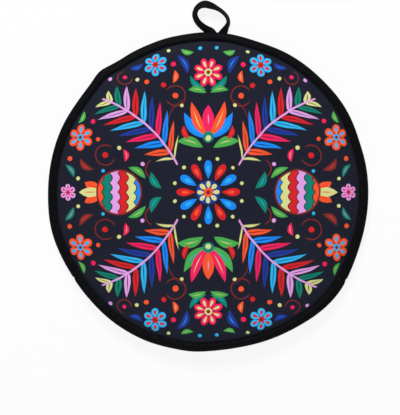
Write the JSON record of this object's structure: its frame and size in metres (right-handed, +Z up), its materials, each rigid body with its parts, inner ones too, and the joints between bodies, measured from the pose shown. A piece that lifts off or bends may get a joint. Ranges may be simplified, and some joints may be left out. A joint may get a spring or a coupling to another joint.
{
  "type": "tortilla warmer",
  "caption": "Round padded fabric pouch that keeps a stack of tortillas warm, with a bound rim, an open mouth along the front, a cotton lining and a hanging loop.",
  "frame": {"origin": "on the face it rests on, under the centre of the disc", "axes": "+Z up through the top panel, -Y towards the mouth, +Y towards the hanging loop, +X to the right seen from above with the mouth at the bottom"},
  "size_m": [0.3048, 0.3359, 0.0294],
  "materials": {
    "printed_cotton": "plain weave cotton with a printed pattern on a dark navy ground",
    "wadding": "matte fibre wadding",
    "lining_cotton": "matte unbleached cotton",
    "binding_tape": "matte woven tape",
    "loop_tape": "folded woven tape",
    "black_thread": "spun thread",
    "cream_thread": "spun thread"
  },
  "bodies": {
    "pouch": {"bottom_cover": "printed_cotton", "bottom_wadding": "wadding", "bottom_lining": "lining_cotton", "top_cover": "printed_cotton", "top_wadding": "wadding", "top_lining": "lining_cotton", "rim_binding": "binding_tape", "lower_lip_binding": "binding_tape", "rim_topstitch": "black_thread", "lower_lip_topstitch": "black_thread", "left_mouth_tack": "black_thread", "right_mouth_tack": "black_thread", "hanging_loop_tack": "black_thread", "lower_lip_lining_stitch": "cream_thread", "lower_lip_overlock": "cream_thread", "hanging_loop_tails": "loop_tape"},
    "upper_lip": {"upper_lip_cover": "printed_cotton", "upper_lip_wadding": "wadding", "upper_lip_lining": "lining_cotton", "upper_lip_binding": "binding_tape", "upper_lip_topstitch": "black_thread"},
    "loop": {"hanging_loop": "loop_tape", "hanging_loop_stitch": "black_thread"}
  },
  "joints": [
    {"name": "mouth_hinge", "type": "hinge", "parent": "pouch", "child": "upper_lip", "pos_m": [0, -0.08076, 0.026], "axis": [-1, 0, 0], "range_deg": [-6, 42]},
    {"name": "loop_swing", "type": "hinge", "parent": "pouch", "child": "loop", "pos_m": [0.008, 0.1538, 0.0092], "axis": [1, 0, 0], "range_deg": [-80, 90]}
  ]
}
